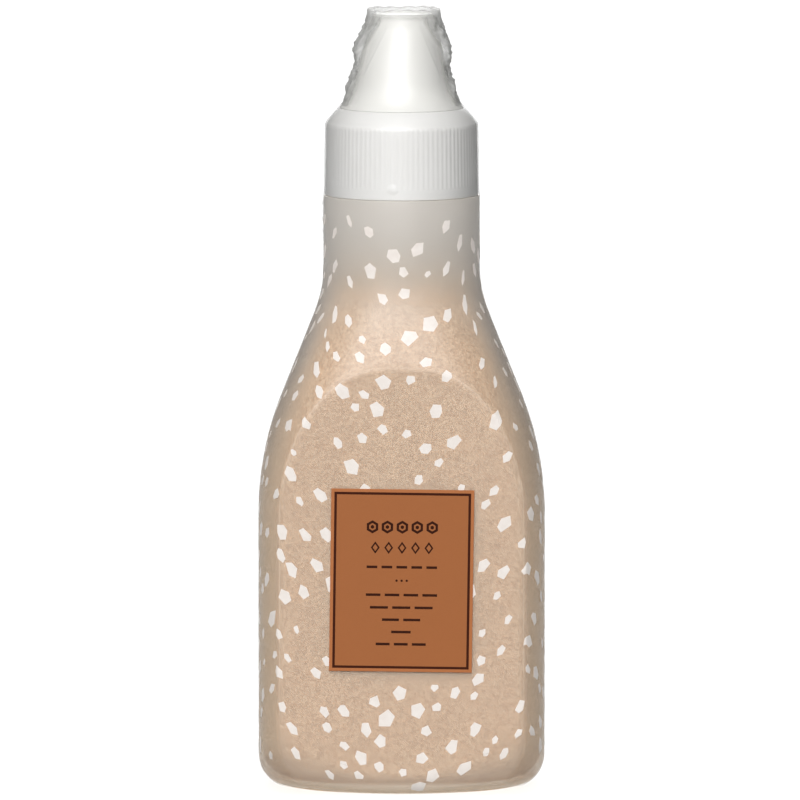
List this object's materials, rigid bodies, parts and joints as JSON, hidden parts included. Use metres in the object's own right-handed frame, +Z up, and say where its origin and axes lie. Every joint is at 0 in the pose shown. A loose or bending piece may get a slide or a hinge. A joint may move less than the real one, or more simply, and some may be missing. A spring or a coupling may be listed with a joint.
{
  "type": "bottle of sugar",
  "caption": "Frosted squeeze bottle of brown sugar with flat arched panels, a ribbed white screw closure, a conical spout cover, a clear shrink sleeve and a rectangular label.",
  "frame": {"origin": "centre of the base, on the surface that the bottle stands on", "axes": "+Z up to the spout cover; the label faces -Y; +X is to the right as the label is seen"},
  "size_m": [0.068, 0.0467, 0.1849],
  "materials": {
    "frosted_polyethylene": "frosted, translucent, blow-moulded",
    "brown_sugar": "fine dry grains",
    "white_polypropylene": "satin white, injection-moulded",
    "clear_film": "clear, glossy, lightly crinkled film with white printed polygons",
    "printed_paper": "matt brown print with a dark border line"
  },
  "bodies": {
    "root": {"bottle": "frosted_polyethylene", "sugar": "brown_sugar", "closure": "white_polypropylene", "spout_cover": "white_polypropylene", "shrink_sleeve": "clear_film", "label": "printed_paper"}
  },
  "joints": []
}
